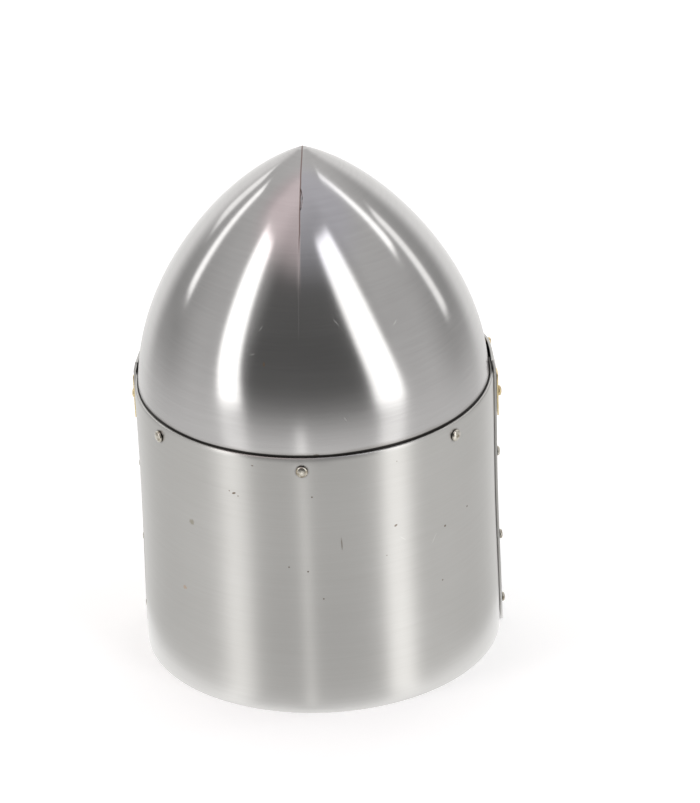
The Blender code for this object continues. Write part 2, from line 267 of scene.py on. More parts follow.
def crown_outline():
    sweep = math.asin(CROWN_RISE / CROWN_ARC)
    climb = [math.sin(sweep * row / CROWN_ROWS) for row in range(CROWN_ROWS)]
    heights = [SPRING_HEIGHT + CROWN_ARC * share for share in climb]
    return [(crown_half_width(height), height) for height in [CROWN_FOOT, *heights]]


crown = turned_sheet("crown_shell", [*crown_outline(), (0.0, HELM_HEIGHT)], 0.0, 360.0, 1.5)
press(crown, "Y", APEX_BACK, lambda angle, point: crown_share(point.z))
print("crown:", len(crown.data.polygons), "faces,", round(outward_facing(crown), 3), "outward")

# %% [markdown]
# ## The crease along the weld
#
# Seen from above, a level slice of the crown is a lens: two arcs, one for each half. The difference
# between the lens and the plain oval is largest a third of the way round, so that's what gets pressed
# in, towards the middle from the back and from the front.

# %% Press the crease
FLATTEST = 0.0100


def lens_depth(across, crease):
    """How far a lens reaches at this share of its half width, when its middle reaches 1."""
    return math.sqrt(max((1.0 + crease) ** 2 - (across + crease) ** 2, 0.0)) / math.sqrt(1.0 + 2.0 * crease)


def flatter_than_oval(point):
    """Signed distance in Y from the oval to the lens at this point of the crown."""
    share = crown_share(point.z)
    half_width = crown_half_width(point.z)
    if half_width < 1e-6:
        return 0.0
    along = (point.y - APEX_BACK * share) / (half_width * DEPTH_RATIO)
    across = min(abs(point.x) / half_width, 1.0)
    lens = lens_depth(across, SEAM_CREASE * ease(share, SEAM_FADES_AT, 1.0))
    return math.copysign(half_width * DEPTH_RATIO * max(abs(along) - lens, 0.0), along)


press(crown, "Y", -FLATTEST, lambda angle, point: flatter_than_oval(point) / FLATTEST)
press(crown, "Y", FLATTEST, lambda angle, point: -flatter_than_oval(point) / FLATTEST)
print("crown depth:", round(crown.dimensions.y, 4), "m")

# %% [markdown]
# ## The flaw in the weld
#
# Low on the seam at the back, the weld has a thin open pocket, like a fingernail mark. A Boolean would
# leave ragged shading here, so the faces round it are subdivided until they are finer than the mark,
# and the pocket is pressed in with a soft lip beside it.

# %% Press the flaw
FLAW_HEIGHT = 0.3240
FLAW_HALF_LENGTH = 0.0046
FLAW_HALF_WIDTH = 0.0006
FLAW_DEPTH = 0.0009
FLAW_BOW = 0.0007


def flaw_share(point):
    """1 in the middle of the pocket, 0 at its rim. The pocket bows towards -X."""
    up = (point.z - FLAW_HEIGHT) / FLAW_HALF_LENGTH
    if abs(up) >= 1.0 or point.y < 0.0:
        return 0.0
    middle = -0.0003 - FLAW_BOW * (1.0 - up * up)
    half_width = FLAW_HALF_WIDTH * math.sqrt(1.0 - up * up)
    across = abs(point.x - middle) / half_width
    return 1.0 - ease(across, 0.35, 1.0)


def near_flaw(face):
    middle = face.calc_center_median()
    return abs(middle.x) < 0.0035 and abs(middle.z - FLAW_HEIGHT) < 0.0085 and middle.y > 0.0


edit(crown, "FACE")
print("faces round the flaw:", pick(crown, "FACE", near_flaw))
bpy.ops.mesh.subdivide(number_cuts=5)
rest()
press(crown, "NORMAL", -FLAW_DEPTH, lambda angle, point: flaw_share(point))
print("crown:", len(crown.data.polygons), "faces")

# %% [markdown]
# ## The back plate
#
# The back plate is one strip of steel bent round the back, and its ends run on under the face plate. It
# is drawn in very slightly at mid height. The Solidify modifier gives it its thickness, with its own
# material slots for the inside and for the cut edge. Then the outer edge of the rim is bevelled round,
# as the file left it. Over its last few millimetres the rim curls in to the crown, most of all
# over the middle rivet.

# %% Bend the back plate
GAP = 0.0003
PLATE_HALF_WIDTH = 0.1142
WAIST = 0.0008
FOOT = 0.0060
BACK_EDGE = 102.0
RIM_ROUNDING = 0.0012
EDGE_ROUNDING = 0.0002
RIM_TURN = 0.0004
RIM_TURN_HEIGHT = 0.0034
RIM_DENT = 0.0003


def waist_share(height):
    return math.sin(math.pi * min(max((height - FOOT) / (RIM_HEIGHT - FOOT), 0.0), 1.0)) ** 2


def plate_half_width(height):
    return PLATE_HALF_WIDTH - WAIST * waist_share(height)


def evenly(start, end, step):
    count = max(round(abs(end - start) / step), 1)
    return [start + (end - start) * index / count for index in range(count + 1)]


def oval_radius(point):
    """Half width of the oval through a point."""
    return math.hypot(point.x, point.y / DEPTH_RATIO)


def add_wall(piece, thickness):
    """Thickens a sheet inwards. Slot 0 is its outside, 1 its inside and 2 its cut edge."""
    for slot in range(3):
        piece.data.materials.append(None)
    apply_modifier(
        piece,
        "SOLIDIFY",
        thickness=thickness,
        offset=-1.0,
        use_even_offset=True,
        material_offset=1,
        material_offset_rim=2,
    )


def round_edges(piece, width, angle=50.0):
    apply_modifier(
        piece,
        "BEVEL",
        width=width,
        segments=2,
        limit_method="ANGLE",
        angle_limit=math.radians(angle),
        use_clamp_overlap=True,
    )


def face_outwards(piece):
    """Turns the faces of an open sheet outwards, so that its wall is added on the inside."""
    if outward_facing(piece) < 0.5:
        edit(piece)
        bpy.ops.mesh.select_all(action="SELECT")
        bpy.ops.mesh.flip_normals()
        rest()


def round_rim(piece, height_of_edge, radius_of_edge, rounding):
    """Bevels the outer of the two top edges of a thick sheet."""

    def outer_top(edge):
        return all(
            corner.co.z > height_of_edge(angle_of(corner.co)) - 0.0001
            and oval_radius(corner.co) > radius_of_edge(angle_of(corner.co)) - STEEL_WALL / 2.0
            for corner in edge.verts
        )

    edit(piece, "EDGE")
    found = pick(piece, "EDGE", outer_top)
    bpy.ops.mesh.bevel(offset=rounding, segments=4, profile=0.5, affect="EDGES")
    rest()
    return found


def rim_turn(point):
    """The rim curls in towards the crown over its last few millimetres."""
    return max(1.0 - (RIM_HEIGHT - point.z) / RIM_TURN_HEIGHT, 0.0) ** 2


def rim_dent(angle, point):
    """Pulled in further round the middle rivet, and a little less on its right."""
    top = ease(point.z, 0.1740, RIM_HEIGHT)
    middle = 1.0 - ease(abs(angle - 0.5), 1.0, 6.5)
    right = 0.6 * (1.0 - ease(abs(angle + 6.0), 1.0, 6.0))
    return top * max(middle, right)


plate_rows = evenly(0.0, FOOT, 0.003)[:-1] + evenly(FOOT, 0.172, 0.008)[:-1] + evenly(0.172, RIM_HEIGHT, 0.0005)
back = turned_sheet(
    "back_shell",
    [(plate_half_width(height), height) for height in plate_rows],
    -BACK_EDGE,
    2.0 * BACK_EDGE,
    1.5,
)
face_outwards(back)
press(back, "NORMAL", -RIM_TURN, lambda angle, point: rim_turn(point))
press(back, "NORMAL", -RIM_DENT, rim_dent)
add_wall(back, STEEL_WALL)
rim_edges = round_rim(
    back,
    lambda angle: RIM_HEIGHT - 0.0002,
    lambda angle: PLATE_HALF_WIDTH - RIM_TURN - RIM_DENT,
    RIM_ROUNDING,
)
round_edges(back, EDGE_ROUNDING)
print("back plate:", len(back.data.polygons), "faces,", rim_edges, "rim edges rounded")

# %% [markdown]
# ## The face plate
#
# The face plate closes the front and laps over the back plate at both sides. Its ends stand out by one
# sheet and a gap, and a joggle brings it back in line. Above the rim it leans in to the crown, and its
# top edge drops a little to the rear corners. Two sights and rows of breaths are cut through it with
# plain solid cutters and a Boolean.

# %% Bend the face plate
FACE_EDGE = 93.0
LAP_ENDS = 103.0
LAP_GONE = 115.0
CORNER_TOP = 0.1860
BROW_TOP = 0.1900
BROW_ANGLE = 108.0
CORNER_LEAN = 0.0014
BROW_LEAN = 0.0018
FACE_STEP = 1.0


def face_top(angle):
    return CORNER_TOP + (BROW_TOP - CORNER_TOP) * ease(abs(angle), FACE_EDGE, BROW_ANGLE)


def lap_share(angle):
    return 1.0 - ease(abs(angle), LAP_ENDS, LAP_GONE)


def above_rim(point):
    return max(point.z - RIM_HEIGHT, 0.0) / (BROW_TOP - RIM_HEIGHT)


def lean_share(angle, point):
    lean = CORNER_LEAN + (BROW_LEAN - CORNER_LEAN) * ease(abs(angle), FACE_EDGE, LAP_GONE)
    return above_rim(point) * lean / BROW_LEAN


def fit_to_face(sheet):
    """Gives a sheet round the face the laps at its sides and the lean above the rim."""
    press(sheet, "NORMAL", -BROW_LEAN, lean_share)
    press(sheet, "NORMAL", STEEL_WALL + GAP, lambda angle, point: lap_share(angle))


def drop_to_corner(angle, point):
    return above_rim(point) * (1.0 - ease(abs(angle), FACE_EDGE, BROW_ANGLE))


face_rows = evenly(0.0, FOOT, 0.003)[:-1] + evenly(FOOT, RIM_HEIGHT, 0.006)[:-1] + evenly(RIM_HEIGHT, BROW_TOP, 0.002)
face = turned_sheet(
    "face_shell",
    [(plate_half_width(height), height) for height in face_rows],
    FACE_EDGE,
    360.0 - 2.0 * FACE_EDGE,
    FACE_STEP,
)
face_outwards(face)
fit_to_face(face)
press(face, "Z", CORNER_TOP - BROW_TOP, drop_to_corner)
add_wall(face, STEEL_WALL)
print("face plate:", len(face.data.polygons), "faces")

# %% Cut the sights and the breaths
ARM_HEIGHT = 0.1600
SIGHT_INNER = 0.0180
SIGHT_OUTER = 0.0740
SIGHT_OPENING = 0.0090
SIGHT_CORNER = 0.0040
BREATH_RADIUS = 0.0020
BREATH_ANGLES = (166.0, 159.0, 152.0, 145.0)
BREATH_HEIGHTS = (0.1220, 0.1060, 0.0900)


def outward(angle):
    """Level direction out of the oval at this angle."""
    turn = math.radians(angle)
    return Vector((math.sin(turn) * DEPTH_RATIO, math.cos(turn), 0.0)).normalized()


def on_plate(angle, height):
    turn = math.radians(angle)
    half_width = plate_half_width(height)
    return Vector((half_width * math.sin(turn), half_width * DEPTH_RATIO * math.cos(turn), height))


def join(pieces, name):
    """Makes one object of several."""
    rest()
    for piece in pieces:
        piece.select_set(True)
    bpy.context.view_layer.objects.active = pieces[0]
    bpy.ops.object.join()
    bpy.ops.object.transform_apply(location=True, rotation=True, scale=True)
    pieces[0].name = name
    rest()
    return pieces[0]


def sight_cutter():
    slots = []
    for side in (-1.0, 1.0):
        rest()
        middle = (side * (SIGHT_INNER + SIGHT_OUTER) / 2.0, -0.12, ARM_HEIGHT)
        bpy.ops.mesh.primitive_cube_add(size=1.0, location=middle)
        slot = bpy.context.object
        slot.scale = (SIGHT_OUTER - SIGHT_INNER, 0.12, SIGHT_OPENING)
        bpy.ops.object.transform_apply(location=True, rotation=True, scale=True)
        edit(slot, "EDGE")
        pick(slot, "EDGE", lambda edge: abs((edge.verts[0].co - edge.verts[1].co).y) > 0.06)
        bpy.ops.mesh.bevel(offset=SIGHT_CORNER, segments=6, profile=0.5, affect="EDGES")
        slots.append(slot)
    return join(slots, "sight_cutter")


def breath_cutter():
    drills = []
    for height in BREATH_HEIGHTS:
        for angle in BREATH_ANGLES:
            for side in (-1.0, 1.0):
                way = outward(side * angle)
                rest()
                bpy.ops.mesh.primitive_cylinder_add(
                    vertices=24,
                    radius=BREATH_RADIUS,
                    depth=0.012,
                    location=on_plate(side * angle, height),
                    rotation=way.to_track_quat("Z", "Y").to_euler(),
                )
                drills.append(bpy.context.object)
    return join(drills, "breath_cutter")


def cut(piece, cutter):
    apply_modifier(piece, "BOOLEAN", operation="DIFFERENCE", object=cutter, solver="EXACT")


sights = sight_cutter()
breaths = breath_cutter()
cut(face, sights)
cut(face, breaths)
face_edges = round_rim(
    face,
    face_top,
    lambda angle: PLATE_HALF_WIDTH - CORNER_LEAN + lap_share(angle) * STEEL_WALL,
    RIM_ROUNDING / 2.0,
)
round_edges(face, EDGE_ROUNDING)
print("face plate:", len(face.data.polygons), "faces,", face_edges, "top edges rounded")

# %% [markdown]
# ## The brass cross
#
# The cross is sheet brass. Its arms are a strip bent round the face, with flared ends that reach the
# sides. The upright is extruded up and down from the middle of the strip, one row at a time. All of it
# is then fitted to the face plate, a gap clear of it, and cut by the same sight cutter.

# %% Bend the cross
BRASS_WALL = 0.0010
ARM_WIDTH = 0.0220
ARM_END_WIDTH = 0.0290
ARM_END = 94.5
ARM_FLARE = 14.0
UPRIGHT_HALF_ANGLE = 7.5
UPRIGHT_BOTTOM = 0.0220
UPRIGHT_TOP = 0.1860
FOOT_SPREAD = 0.0037
FOOT_FLARE_HEIGHT = 0.0500
CROSS_STEP = 0.75


def grow_upright(cross, edge_height, end):
    """Extrudes the middle of the arm's edge at a height, row by row, to the end of the upright."""

    def on_edge(edge):
        return all(
            abs(corner.co.z - edge_height) < 0.0001
            and 180.0 - abs(angle_of(corner.co)) < UPRIGHT_HALF_ANGLE + 0.1
            for corner in edge.verts
        )

    edit(cross, "EDGE")
    found = pick(cross, "EDGE", on_edge)
    rows = evenly(edge_height, end, 0.006)
    for here, there in zip(rows, rows[1:]):
        bpy.ops.mesh.extrude_edges_move(TRANSFORM_OT_translate={"value": (0.0, 0.0, there - here)})
    rest()
    return found


def arm_flare(angle, point, side):
    """Share by which a corner moves away from the arm's middle line, on its upper or lower side."""
    end = 1.0 - ease(abs(angle), ARM_END, ARM_END + ARM_FLARE)
    return end * max(side * (point.z - ARM_HEIGHT) / (ARM_WIDTH / 2.0), 0.0)


def foot_flare(point, side):
    foot = 1.0 - ease(point.z, UPRIGHT_BOTTOM, FOOT_FLARE_HEIGHT)
    return foot * max(side * point.x / 0.0149, 0.0)


arm_low = ARM_HEIGHT - ARM_WIDTH / 2.0
arm_high = ARM_HEIGHT + ARM_WIDTH / 2.0
cross = turned_sheet(
    "cross_shell",
    [(PLATE_HALF_WIDTH, height) for height in evenly(arm_low, arm_high, 0.004)],
    ARM_END,
    360.0 - 2.0 * ARM_END,
    CROSS_STEP,
)
face_outwards(cross)
grown = grow_upright(cross, arm_high, UPRIGHT_TOP) + grow_upright(cross, arm_low, UPRIGHT_BOTTOM)
edit(cross)
bpy.ops.mesh.select_all(action="SELECT")
bpy.ops.mesh.normals_make_consistent(inside=False)
face_outwards(cross)
press(cross, "NORMAL", -WAIST, lambda angle, point: waist_share(point.z))
fit_to_face(cross)
press(cross, "NORMAL", GAP + BRASS_WALL, lambda angle, point: 1.0)
flare = (ARM_END_WIDTH - ARM_WIDTH) / 2.0
press(cross, "Z", flare, lambda angle, point: arm_flare(angle, point, 1.0))
press(cross, "Z", -flare, lambda angle, point: arm_flare(angle, point, -1.0))
press(cross, "X", FOOT_SPREAD, lambda angle, point: foot_flare(point, 1.0))
press(cross, "X", -FOOT_SPREAD, lambda angle, point: foot_flare(point, -1.0))
add_wall(cross, BRASS_WALL)
cut(cross, sights)
round_edges(cross, EDGE_ROUNDING)
print("cross:", len(cross.data.polygons), "faces, upright grown from", grown, "edges")

for cutter in (sights, breaths):
    bpy.data.objects.remove(cutter)

# %% [markdown]
# ## The crown's wall
#
# The crown gets its thickness last, because its crease and its flaw were pressed into the open sheet.

# %% Thicken the crown
face_outwards(crown)
add_wall(crown, STEEL_WALL)
print("crown:", len(crown.data.polygons), "faces with its wall")

# %% [markdown]
# ## Rivets
#
# Each rivet has a domed head, a straight shank and a hammered tail on the inside. Three heads are
# modelled, for the rim, the side seams and the brass, each from the upper half of a sphere, bisected
# and squashed. The copies are set on the packed rivets: a rivet's own corners give its middle and its
# tip, and so its direction, and its length tells how far the tail has to be drawn out.

# %% Model the heads
HEAD_EDGE = 0.0007
DOME_SHARE = 0.4
SHANK_RADIUS = 0.0018
SHANK_LENGTH = 0.0042
TAIL_RADIUS = 0.0027
TAIL_RISE = 0.0011
TAIL_TAPER = 0.6
HEADS = {"rim": 0.0038, "seam": 0.0031, "brass": 0.0033}


def rivet_form(name, head):
    """A rivet along Z, whose sheet starts at z = 0."""
    rest()
    bpy.ops.mesh.primitive_uv_sphere_add(segments=32, ring_count=20, radius=head)
    rivet = bpy.context.object
    rivet.name = rivet.data.name = name
    edit(rivet)
    bpy.ops.mesh.select_all(action="SELECT")
    bpy.ops.mesh.bisect(plane_co=(0.0, 0.0, 0.0), plane_no=(0.0, 0.0, 1.0), clear_inner=True)
    bpy.ops.mesh.select_all(action="SELECT")
    bpy.ops.transform.resize(value=(1.0, 1.0, DOME_SHARE), center_override=(0.0, 0.0, 0.0))
    bpy.ops.transform.translate(value=(0.0, 0.0, GAP + HEAD_EDGE))
    pick(rivet, "EDGE", lambda edge: edge.is_boundary)
    radius = head
    steps = (
        (HEAD_EDGE, head),
        (0.0, SHANK_RADIUS),
        (SHANK_LENGTH, SHANK_RADIUS),
        (0.0, TAIL_RADIUS),
        (TAIL_RISE, TAIL_RADIUS * TAIL_TAPER),
    )
    for down, next_radius in steps:
        bpy.ops.mesh.extrude_edges_move(TRANSFORM_OT_translate={"value": (0.0, 0.0, -down)})
        share = next_radius / radius
        bpy.ops.transform.resize(value=(share, share, 1.0), center_override=(0.0, 0.0, 0.0))
        radius = next_radius
    bpy.ops.mesh.edge_face_add()
    bpy.ops.mesh.select_all(action="SELECT")
    bpy.ops.mesh.normals_make_consistent(inside=False)
    round_edges(rivet, EDGE_ROUNDING)
    return rivet


forms = {kind: rivet_form(f"{kind}_rivet_form", head) for kind, head in HEADS.items()}
print("heads:", {kind: len(form.data.polygons) for kind, form in forms.items()})

# %% Set the rivets


def rivet_kind(node):
    if node.startswith("back_rivet"):
        return "rim"
    return "seam" if node.startswith("seam_rivet") else "brass"


def rivet_place(node):
    """Seat, direction and length below the seat of a packed rivet."""
    corners = {tuple(round(value, 6) for value in corner.co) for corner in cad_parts[node].data.vertices}
    corners = [Vector(corner) for corner in corners]
    middle = sum(corners, Vector()) / len(corners)
    way_out = outward(angle_of(middle))
    tip = max(corners, key=lambda corner: corner.dot(way_out))
    direction = (tip - middle).normalized()
    head = HEADS[rivet_kind(node)]
    seat = tip - direction * (GAP + HEAD_EDGE + head * DOME_SHARE)
    deepest = min((corner - seat).dot(direction) for corner in corners)
    return seat, direction, -deepest


def set_rivet(node):
    form = forms[rivet_kind(node)]
    rivet = form.copy()
    rivet.data = form.data.copy()
    rivet.name = rivet.data.name = f"{node}_piece"
    bpy.context.scene.collection.objects.link(rivet)
    seat, direction, depth = rivet_place(node)
    drawn = depth - (SHANK_LENGTH - GAP + TAIL_RISE)
    edit(rivet)
    pick(rivet, "VERT", lambda corner: corner.co.z < -SHANK_LENGTH / 2.0)
    bpy.ops.transform.translate(value=(0.0, 0.0, -drawn))
    rest()
    turn = direction.to_track_quat("Z", "Y").to_matrix().to_4x4()
    rivet.matrix_world = Matrix.Translation(seat) @ turn
    rivet.select_set(True)
    bpy.context.view_layer.objects.active = rivet
    bpy.ops.object.transform_apply(location=True, rotation=True, scale=True)
    return rivet


rivet_nodes = sorted(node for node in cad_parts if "rivet" in node)
rivets = {node: set_rivet(node) for node in rivet_nodes}
for form in forms.values():
    bpy.data.objects.remove(form)
print(len(rivets), "rivets set")

# %% [markdown]
# ## Writing a finish as sums
#
# A procedural finish is a sum of patterns over the surface. A Field wraps one shader socket, so that
# a line such as 1 - mask adds the Math node that works it out. Every other node comes from one
# method, which sets the node first and then fills or links its sockets. Patterns read Object
# coordinates: metres from the origin, which a metal sheet doesn't stretch.

# %% Shader sums


class Field:
    """A value over a surface. A sum with numbers or other fields adds its Math nodes."""

    def __init__(self, finish, socket):
        self.finish = finish
        self.socket = socket

    def __add__(self, other):
        return self.finish.math("ADD", self, other)

    def __sub__(self, other):
        return self.finish.math("SUBTRACT", self, other)

    def __rsub__(self, other):
        return self.finish.math("SUBTRACT", other, self)

    def __mul__(self, other):
        return self.finish.math("MULTIPLY", self, other)

    def __truediv__(self, other):
        return self.finish.math("DIVIDE", self, other)

    __radd__ = __add__
    __rmul__ = __mul__


class Finish:
    """The nodes of a material or of the world."""

    def __init__(self, owner):
        owner.use_nodes = True
        self.owner = owner
        self.tree = owner.node_tree
        self.tree.nodes.clear()
        self.known = {}

    def add(self, kind, settings, sockets, output=0):
        """Adds a node, sets it, then gives its sockets values or links."""
        node = self.tree.nodes.new(f"ShaderNode{kind}")
        for name, value in settings.items():
            if name == "stops":
                set_stops(node.color_ramp, value)
            else:
                setattr(node, name, value)
        for name, value in sockets.items():
            if isinstance(value, Field):
                self.tree.links.new(value.socket, node.inputs[name])
            else:
                node.inputs[name].default_value = value
        return Field(self, node.outputs[output]) if node.outputs else None

    def math(self, operation, *values):
        return self.add("Math", {"operation": operation}, dict(enumerate(values)))

    def mix(self, share, first, second):
        """Mixes two colours."""
        settings = {"data_type": "RGBA", "clamp_factor": True}
        return self.add("Mix", settings, {0: share, 6: first, 7: second}, 2)

    def step(self, value, start, end):
        """0 at start and 1 at end of a smooth step. The start may be the larger."""
        settings = {"interpolation_type": "SMOOTHSTEP", "clamp": True}
        return self.add("MapRange", settings, {"Value": value, "From Min": start, "From Max": end})

    def place(self):
        """Object coordinates, read once for each material."""
        if "place" not in self.known:
            self.known["place"] = self.add("TexCoord", {}, {}, "Object")
        return self.known["place"]

    def along(self, axis):
        """One of the Object coordinates, in metres."""
        if axis not in self.known:
            self.known[axis] = self.add("SeparateXYZ", {}, {0: self.place()}, axis)
        return self.known[axis]

    def noise(self, waves, detail=2.0, roughness=0.5, shift=0.0):
        """Noise round 0.5, with so many waves to the metre along X, Y and Z."""
        sockets = {"Vector": self.place(), "Scale": waves, "Location": (shift, shift, shift)}
        where = self.add("Mapping", {"vector_type": "POINT"}, sockets)
        return self.add(
            "TexNoise", {}, {"Vector": where, "Scale": 1.0, "Detail": detail, "Roughness": roughness}
        )


def set_stops(ramp, stops):
    """Gives a colour ramp its (place, colour) stops."""
    while len(ramp.elements) > 1:
        ramp.elements.remove(ramp.elements[-1])
    ramp.elements[0].position, ramp.elements[0].color = stops[0]
    for position, colour in stops[1:]:
        ramp.elements.new(position).color = colour


def metal(finish, colour, roughness, relief, depth, **steady):
    """Ends a material with a metal shader. What is steady goes on the shader's own sockets."""
    normal = finish.add("Bump", {}, {"Height": relief, "Distance": depth, "Strength": 1.0})
    shader = finish.add(
        "BsdfPrincipled",
        {},
        {"Base Color": colour, "Roughness": roughness, "Metallic": 1.0, "Normal": normal, **steady},
    )
    finish.add("OutputMaterial", {}, {"Surface": shader})
    return finish.owner


def new_finish(name):
    return Finish(bpy.data.materials.new(name))


print("a finish has", len([name for name in vars(Finish) if not name.startswith("_")]), "kinds of step")

# %% [markdown]
# ## Marks by place
#
# A worn helm has small stains, dots and scratches, each in its own place. A mark is an ellipse that
# lies on the surface: a Mapping node in its texture mode moves the coordinates to the mark's middle,
# turns them and divides them by its half sizes, so that the length of the vector is 1 on its outline.
# A little noise bends the outline. The tables give places as angle and height, as a maker would.

# %% Marks


def crown_place(angle, height):
    """A point of the crown at this angle from the crown's own middle line."""
    turn = math.radians(angle)
    half_width = crown_half_width(height)
    back = APEX_BACK * crown_share(height)
    return Vector((half_width * math.sin(turn), back + half_width * DEPTH_RATIO * math.cos(turn), height))


def mark(finish, middle, way_out, across, tall, tilt, ragged=0.35):
    """1 on a spot and 0 round it. Its half sizes are in millimetres and its tilt in degrees."""
    if "wobble" not in finish.known:
        where = finish.add("Mapping", {}, {"Vector": finish.place(), "Scale": (900.0, 900.0, 900.0)})
        finish.known["wobble"] = finish.add("TexNoise", {}, {"Vector": where, "Scale": 1.0, "Detail": 2.0})
    side = Vector((0.0, 0.0, 1.0)).cross(way_out).normalized()
    up = way_out.cross(side)
    lean = math.radians(tilt)
    long_way = math.cos(lean) * side + math.sin(lean) * up
    high_way = way_out.cross(long_way)
    turn = Matrix((long_way, high_way, way_out)).transposed().to_euler()
    local = finish.add(
        "Mapping",
        {"vector_type": "TEXTURE"},
        {
            "Vector": finish.place(),
            "Location": middle,
            "Rotation": turn,
            "Scale": (across / 1000.0, tall / 1000.0, 0.012),
        },
    )
    reach = finish.add("VectorMath", {"operation": "LENGTH"}, {0: local}, "Value")
    bent = reach + (finish.known["wobble"] - 0.5) * (2.0 * ragged)
    return finish.step(bent, 1.15, 0.55)


def marks(finish, rows, find_place, ragged=0.35):
    """The largest of a table's marks at each point."""
    total = None
    for angle, height, across, tall, tilt, strength in rows:
        middle = find_place(angle, height / 1000.0)
        one = mark(finish, middle, outward(angle), across, tall, tilt, ragged) * strength
        total = one if total is None else finish.math("MAXIMUM", total, one)
    return total


# %% [markdown]
# ## Plate steel
#
# The plates were brushed level with an abrasive belt, which leaves hair lines round the body. Light
# that meets them spreads up and down far more than sideways, and this is why the studio lights
# show as soft upright bands. The shader's anisotropy does that, and stretched noise adds the lines
# that can be seen, in colour, roughness and a very small relief.

# %% Plate steel
BRUSHED_LEVEL = 0.25
PLATE_COLOUR = (0.500, 0.492, 0.478, 1.0)
PLATE_PALE = (0.560, 0.553, 0.542, 1.0)
BROWN = (0.130, 0.080, 0.040, 1.0)
OLIVE = (0.300, 0.265, 0.180, 1.0)
ORANGE = (0.520, 0.330, 0.190, 1.0)
PALE_SCRATCH = (0.720, 0.715, 0.700, 1.0)
# Painted shade round the steel rivet heads.
RIVET_SHADE = (0.080, 0.072, 0.065, 1.0)

# Columns: angle, height in mm, half length in mm, half height in mm, tilt in degrees, strength.
BROWN_MARKS = [
    (22.6, 151.5, 1.6, 0.7, 20.0, 0.9),
    (21.2, 150.0, 0.6, 0.5, 0.0, 0.7),
    (24.2, 152.5, 0.6, 0.5, 0.0, 0.7),
    (-29.6, 125.0, 1.2, 0.8, 30.0, 0.7),
    (-48.8, 111.5, 1.0, 0.8, 10.0, 0.8),
    (-60.2, 115.5, 1.0, 0.7, 0.0, 0.7),
    (15.8, 173.0, 0.9, 0.5, 0.0, 0.6),
    (-11.6, 118.5, 0.5, 4.8, 2.0, 0.45),
    (-2.8, 153.0, 0.6, 0.6, 0.0, 0.8),
    (-0.6, 100.5, 0.6, 0.6, 0.0, 0.8),
    (5.4, 103.5, 0.6, 0.6, 0.0, 0.7),
    (-5.2, 81.0, 0.6, 0.6, 0.0, 0.8),
    (-47.0, 74.5, 0.7, 0.6, 0.0, 0.7),
    (-30.6, 169.5, 0.5, 0.4, 0.0, 0.6),
    (-26.2, 105.5, 0.5, 0.4, 0.0, 0.6),
]
OLIVE_MARKS = [(40.0, 121.5, 2.6, 1.9, 15.0, 0.55)]
ORANGE_MARKS = [(45.0, 71.5, 2.2, 1.4, 10.0, 0.5)]
PLATE_SCRATCHES = [(-44.0, 106.5, 4.0, 0.35, 55.0, 0.5), (-32.0, 114.5, 3.0, 0.3, -40.0, 0.4)]


def brushed_steel(finish, colour, pale):
    """Colour and the hair lines of level brushing, as fields."""
    hairs = finish.noise((35.0, 35.0, 1500.0), detail=2.0)
    streaks = finish.noise((14.0, 14.0, 420.0), detail=3.0, shift=3.1)
    clouds = finish.noise((20.0, 20.0, 28.0), detail=4.0, shift=7.7)
    share = 0.5 + (hairs - 0.5) * 0.8 + (streaks - 0.5) * 0.6 + (clouds - 0.5) * 0.9
    return finish.mix(share, colour, pale), hairs, streaks, clouds


def rivet_shade_rings(finish):
    """Painted shade: a dark ring round each steel rivet head, in the recess where it meets the plate."""
    shade_rings = None
    for node in rivet_nodes:
        if rivet_kind(node) != "brass":
            seat, direction, depth = rivet_place(node)
            half = 1000.0 * HEADS[rivet_kind(node)] + 0.8
            shade_ring = mark(finish, seat, direction, half, half, 0.0, 0.12) * 0.85
            shade_rings = shade_ring if shade_rings is None else finish.math("MAXIMUM", shade_rings, shade_ring)
    return shade_rings


def plate_steel():
    finish = new_finish("plate_steel_outside")
    colour, hairs, streaks, clouds = brushed_steel(finish, PLATE_COLOUR, PLATE_PALE)
    brown = marks(finish, BROWN_MARKS, on_plate)
    olive = marks(finish, OLIVE_MARKS, on_plate, 0.6)
    orange = marks(finish, ORANGE_MARKS, on_plate, 0.6)
    scratches = marks(finish, PLATE_SCRATCHES, on_plate, 0.15)
    colour = finish.mix(scratches, colour, PALE_SCRATCH)
    colour = finish.mix(olive, colour, OLIVE)
    colour = finish.mix(orange, colour, ORANGE)
    colour = finish.mix(brown, colour, BROWN)
    # Painted shade round each steel rivet head.
    colour = finish.mix(rivet_shade_rings(finish), colour, RIVET_SHADE)
    roughness = 0.32 + (hairs - 0.5) * 0.10 + (clouds - 0.5) * 0.06 + brown * 0.2 + olive * 0.1
    relief = hairs * 0.8 + streaks * 0.2 + brown * 0.5
    steady = {"Anisotropic": 0.8, "Anisotropic Rotation": BRUSHED_LEVEL}
    return metal(finish, colour, roughness, relief, 0.00001, **steady)


plate_outside = plate_steel()
print("plate steel:", len(plate_outside.node_tree.nodes), "nodes")

# %% [markdown]
# ## Crown steel
#
# The crown was polished further than the plates, so the lights stand in it as clearer shapes, with
# soft edges. Fine scratches run round it. Where it goes into the body it is painted darker: a band of
# grime with painted shade, and a near-black line of painted shadow along the gap.

# %% Crown steel
CROWN_COLOUR = (0.470, 0.462, 0.462, 1.0)
CROWN_PALE = (0.530, 0.522, 0.522, 1.0)
# Grime marks, and a band of painted shade above the rim.
GRIME_AND_SHADE = (0.210, 0.190, 0.170, 1.0)
WELD = (0.160, 0.095, 0.080, 1.0)
# Painted shadow: the near-black line in the gap at the rim.
GAP_SHADOW_BLACK = (0.012, 0.011, 0.010, 1.0)
WARM_SPOT = (0.700, 0.450, 0.250, 1.0)

